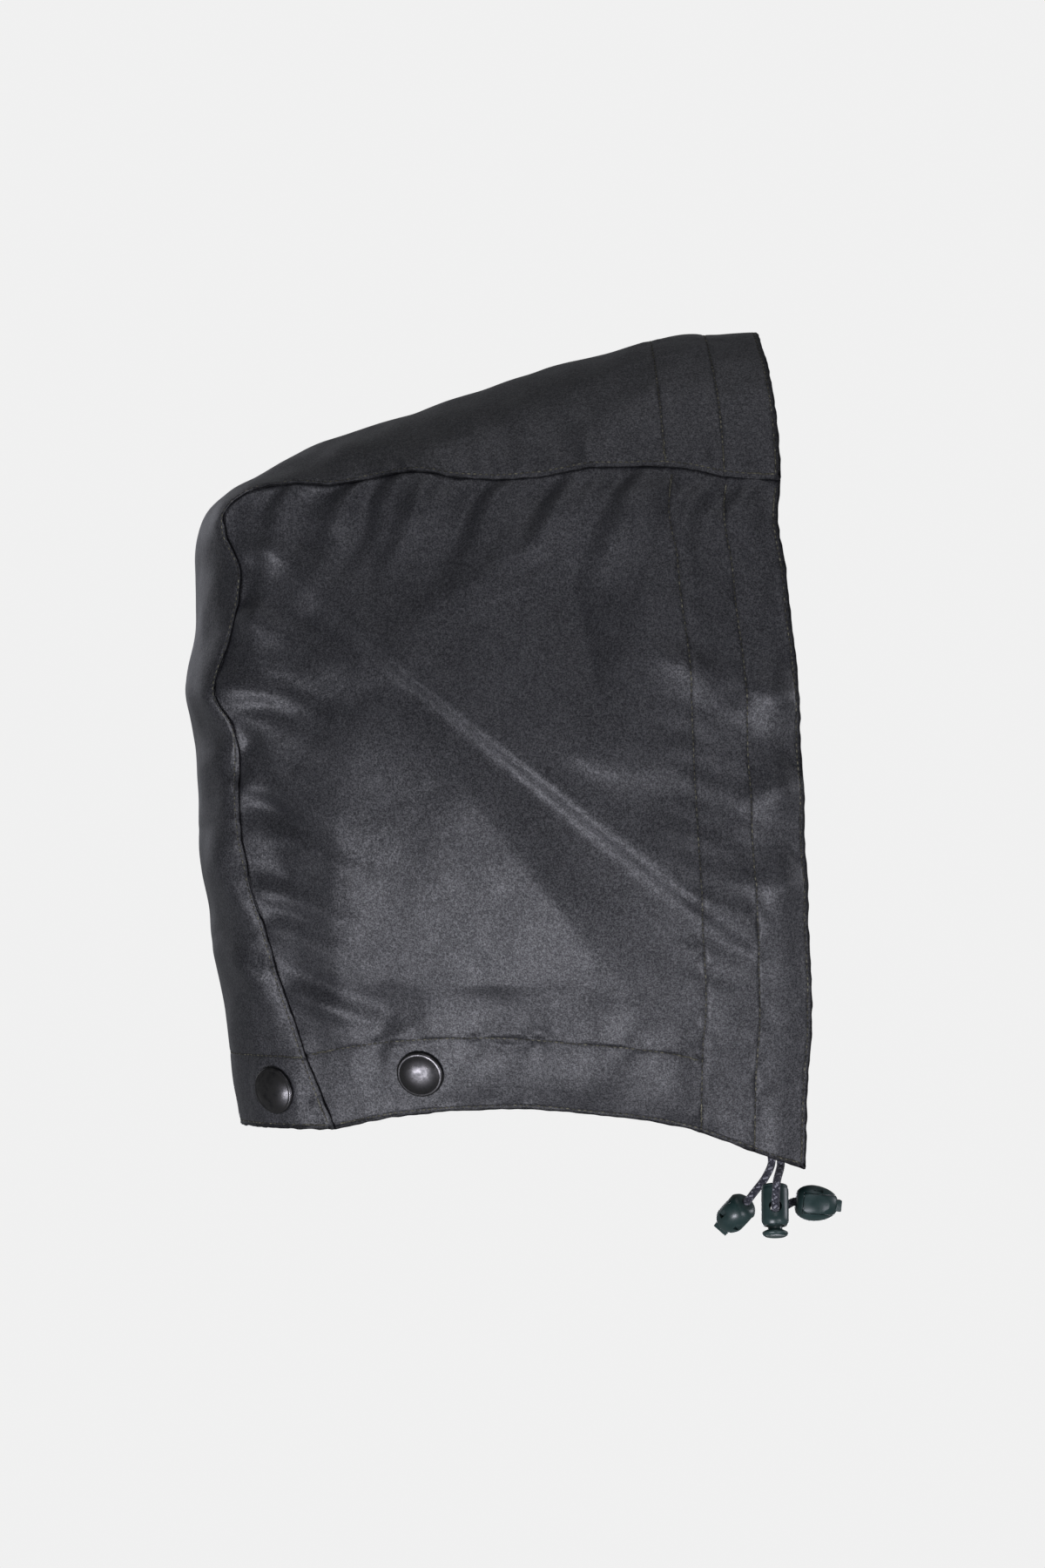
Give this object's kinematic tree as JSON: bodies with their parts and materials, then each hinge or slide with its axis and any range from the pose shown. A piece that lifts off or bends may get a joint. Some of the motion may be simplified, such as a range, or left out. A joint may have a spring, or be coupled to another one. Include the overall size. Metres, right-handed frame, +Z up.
{
  "type": "detachable hood",
  "caption": "Three-panel hood of waxed cotton for a storm jacket, with press studs along the neck and a drawcord, cord lock and cord ends at the face opening.",
  "frame": {"origin": "inside of the crown, on the centre panel's inner face in the mid-plane, where the top of the head carries the hood", "axes": "+X out of the face opening, +Y to the wearer's left, +Z up"},
  "size_m": [0.2765, 0.2118, 0.3883],
  "materials": {
    "cloth": "waxed cotton, near-black navy, semi-matt with a waxy sheen",
    "stud": "black nickel, satin",
    "socket": "plain nickel",
    "cord": "braided, dark navy with grey flecks",
    "lock": "moulded, dark green"
  },
  "bodies": {
    "hood": {"centre_panel": "cloth", "side_panel_right": "cloth", "side_panel_left": "cloth", "stud_cap_right_side": "stud", "stud_cap_right_back": "stud", "stud_cap_left_back": "stud", "stud_cap_left_side": "stud", "stud_socket_right_side": "socket", "stud_socket_right_back": "socket", "stud_socket_left_back": "socket", "stud_socket_left_side": "socket", "drawcord_right": "cord", "drawcord_left": "cord", "lock_barrel": "lock", "bell_right_shell": "lock", "bell_right_insert": "lock", "bell_left_shell": "lock", "bell_left_insert": "lock"},
    "plunger": {"lock_plunger": "lock"}
  },
  "joints": [
    {"name": "lock_plunger_slide", "type": "slide", "parent": "hood", "child": "plunger", "axis": [0, 0.2588, 0.9659], "range_m": [0, 0.0018], "stiffness_N_per_m": 400, "springref_m": -0.005}
  ]
}
